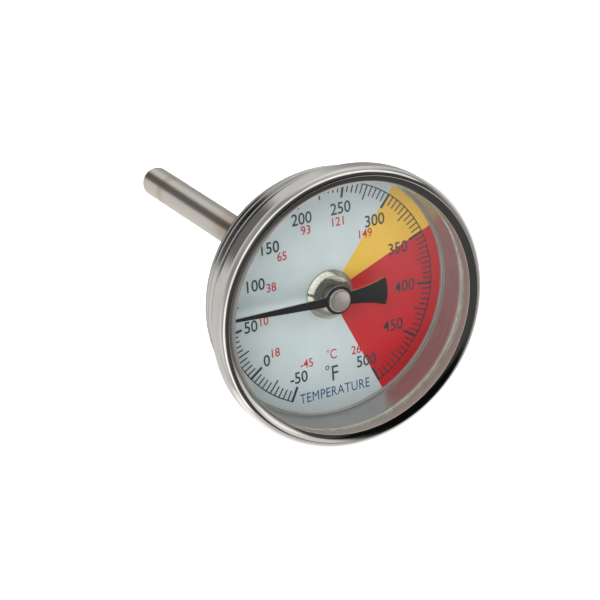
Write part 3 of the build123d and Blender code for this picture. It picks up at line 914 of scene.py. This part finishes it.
# Each row is a direction, the angles of full and of no brightness, and the brightness.
PANELS = [
    ((0.0, 1.0, -0.1), 60, 105, 0.75),       # pale room behind
    ((-0.12, 0.97, 0.15), 13, 18, -0.76),    # black card behind, above left
    ((-0.38, 0.83, 0.42), 10, 21, -0.62),    # grey card beside it
    ((0.42, 0.90, 0.02), 12, 28, -0.42),     # grey curtain behind, above
    ((-0.62, -0.35, 0.60), 10, 40, 0.35),    # glow in front, on the left
    ((-0.88, -0.15, -0.30), 12, 42, 0.5),    # its lower neighbour
    ((0.30, 0.0, 0.95), 12, 42, 0.55),       # glow overhead
    ((0.95, 0.0, -0.35), 25, 45, 0.35),      # grey wall on the right
    ((0.1, 0.15, -0.98), 38, 47, 0.7),       # bright table below
    ((0.69, -0.72, -0.07), 5, 9, 0.7),       # gap beside the front card
    ((0.40, -0.84, -0.36), 6, 14, 0.1),      # dim wall that the flat faces mirror
    ((0.55, -0.80, -0.20), 10, 13, 0.9),     # window that hazes the glass
    ((0.24, -0.96, 0.08), 15, 19, -0.1),     # black card in front
]

# A bright strip light bends over the thermometer, in the directions that the middle of the bezel's
# rounding mirrors towards the reader. It draws the thin highlight along the bezel.
READER, ROUNDING = Vector((-0.396, -0.844, 0.363)), radians(43)
for clock_angle in range(-116, 31, 13):
    turn = radians(clock_angle)
    outward = Vector((sin(ROUNDING) * sin(turn), -cos(ROUNDING), sin(ROUNDING) * cos(turn)))
    PANELS.append((2 * outward.dot(READER) * outward - READER, 5, 13, 1.15))
GLOW, DARKEST, BACKDROP = 0.08, 0.004, 0.97
total = GLOW
for settings in PANELS:
    total = calc(tree, "ADD", total, panel(*settings))
total = calc(tree, "MAXIMUM", total, DARKEST)
camera_ray = node(tree, "ShaderNodeLightPath").outputs["Is Camera Ray"]
brightness = node(tree, "ShaderNodeMix", {0: camera_ray, 2: total, 3: BACKDROP}).outputs[0]
background = tree.nodes["Background"]
background.inputs["Color"].default_value = (1.0, 1.0, 1.0, 1.0)
tree.links.new(brightness, background.inputs["Strength"])
print("panels:", len(PANELS))

# %% [markdown]
# ## Lamps
# Big soft lamps light the paint and the floor. They are hidden from mirror rays, so the panels
# above decide the reflections alone and the two can be balanced separately.

# %% Soft lamps
def soft_lamp(name, location, size, watts):
    """Square area lamp that looks at the thermometer."""
    lamp = bpy.data.lights.new(name, "AREA")
    lamp.shape, lamp.size, lamp.energy = "SQUARE", size, watts
    holder = bpy.data.objects.new(name, lamp)
    holder.location = location
    holder.rotation_mode = "QUATERNION"
    holder.rotation_quaternion = (-Vector(location)).to_track_quat("-Z", "Y")
    holder.visible_glossy = False
    bpy.context.scene.collection.objects.link(holder)
    print(name, "at", location, "gives", watts, "W")


soft_lamp("left_lamp", (-0.9, -1.0, 1.0), size=0.9, watts=15.0)
soft_lamp("right_lamp", (0.9, -1.1, 0.9), size=0.9, watts=8.0)
soft_lamp("top_lamp", (0.0, 0.5, 1.6), size=1.6, watts=42.0)

# %% [markdown]
# ## Camera
# A long lens from the front left, a little above. The view is aimed beside the dial's centre, so
# the whole stem fits, and the camera leans slightly.

# %% Camera
azimuth, elevation, lean = radians(-25.126), radians(21.281), radians(-4.072)
UNIT, ASIDE, BELOW, AWAY = 0.02205, 0.25590, 0.05249, 25.0
back = Vector((sin(azimuth) * cos(elevation), -cos(azimuth) * cos(elevation), sin(elevation)))
right = (-back).cross(Vector((0, 0, 1))).normalized()
up = back.cross(right)
leaning_right = right * cos(lean) + up * sin(lean)
leaning_up = up * cos(lean) - right * sin(lean)
camera_data = bpy.data.cameras.new("camera")
camera_data.sensor_width, camera_data.lens = 36.0, 172.69
camera_data.clip_start, camera_data.clip_end = 0.01, 20.0
camera = bpy.data.objects.new("camera", camera_data)
axes = Matrix((leaning_right, leaning_up, back)).transposed()
eye = Vector((0, dial_face, 0)) + UNIT * (AWAY * back - ASIDE * leaning_right - BELOW * leaning_up)
camera.matrix_world = Matrix.Translation(eye) @ axes.to_4x4()
bpy.context.scene.collection.objects.link(camera)
bpy.context.scene.camera = camera
bpy.context.scene.view_settings.view_transform = "Standard"
print("camera at", [round(v, 4) for v in eye])
